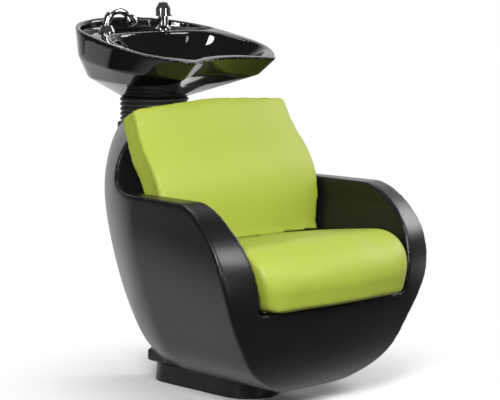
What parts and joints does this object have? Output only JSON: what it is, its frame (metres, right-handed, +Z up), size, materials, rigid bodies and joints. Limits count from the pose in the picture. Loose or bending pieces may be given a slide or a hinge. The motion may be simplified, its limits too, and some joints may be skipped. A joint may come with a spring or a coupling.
{
  "type": "salon backwash unit",
  "caption": "Salon shampoo chair: a moulded tub shell with arms and green cushions carries a tilting black ceramic basin with a mixer and a hand shower.",
  "frame": {"origin": "on the floor at the middle of the plinth, which is the centre of the anchor holes", "axes": "+Z up, the sitter faces -Y, +X to the sitter's left"},
  "size_m": [0.7502, 0.947, 1.0295],
  "materials": {
    "shell_plastic": "satin, fine grain",
    "frame_steel": "powder coat",
    "leatherette": "smooth, soft sheen",
    "plywood": "bare",
    "zinc_steel": "zinc plated",
    "friction_fibre": "matte",
    "bronze": "machined",
    "bellows_rubber": "matte",
    "seal_rubber": "matte",
    "china": "high gloss glaze",
    "chrome": "mirror polish",
    "grey_plastic": "satin"
  },
  "bodies": {
    "stand": {"base_plate": "frame_steel", "plinth_cover": "shell_plastic", "seat_posts": "frame_steel", "seat_rails": "frame_steel", "basin_post": "frame_steel", "shell": "shell_plastic", "service_cover": "shell_plastic", "service_cover_screws": "zinc_steel", "seat_board": "plywood", "seat_board_screws": "zinc_steel", "seat_cushion": "leatherette", "back_board": "plywood", "back_board_screws": "zinc_steel", "back_cushion": "leatherette", "tilt_clevis": "frame_steel", "tilt_pin": "zinc_steel", "tilt_nut": "zinc_steel", "friction_washers": "friction_fibre", "bellows": "bellows_rubber"},
    "basin_unit": {"tilt_bushes": "bronze", "basin_bracket": "frame_steel", "basin_bolts": "zinc_steel", "basin": "china", "drain_flange": "chrome", "drain_seal": "seal_rubber", "drain_nut": "grey_plastic", "mixer_gasket": "seal_rubber", "mixer_body": "chrome", "mixer_washer": "zinc_steel", "mixer_nut": "zinc_steel", "mixer_cartridge": "bronze", "shower_holder": "chrome", "holder_washer": "zinc_steel", "holder_nut": "zinc_steel"},
    "lever_turret": {"lever_carrier": "chrome", "lever_pin": "zinc_steel"},
    "lever_hood": {"mixer_lever": "chrome", "lever_index": "grey_plastic"},
    "hand_shower": {"shower_handle": "chrome", "shower_grip": "chrome", "spray_head": "chrome", "spray_face": "grey_plastic"},
    "strainer": {"hair_strainer": "chrome"}
  },
  "joints": [
    {"name": "basin_tilt", "type": "hinge", "parent": "stand", "child": "basin_unit", "pos_m": [0, 0.255, 0.735], "axis": [1, 0, 0], "range_deg": [-12, 5], "deforming": ["bellows"]},
    {"name": "mixer_swivel", "type": "hinge", "parent": "basin_unit", "child": "lever_turret", "pos_m": [0.086, 0.316, 0.998], "axis": [0, 0, 1], "range_deg": [-45, 45]},
    {"name": "mixer_lift", "type": "hinge", "parent": "lever_turret", "child": "lever_hood", "pos_m": [0.086, 0.316, 1.00115], "axis": [-1, 0, 0], "range_deg": [0, 18]},
    {"name": "shower_lift", "type": "slide", "parent": "basin_unit", "child": "hand_shower", "axis": [0, 0, 1], "range_m": [0, 0.12]},
    {"name": "strainer_lift", "type": "slide", "parent": "basin_unit", "child": "strainer", "axis": [0, 0, 1], "range_m": [0, 0.05]}
  ]
}
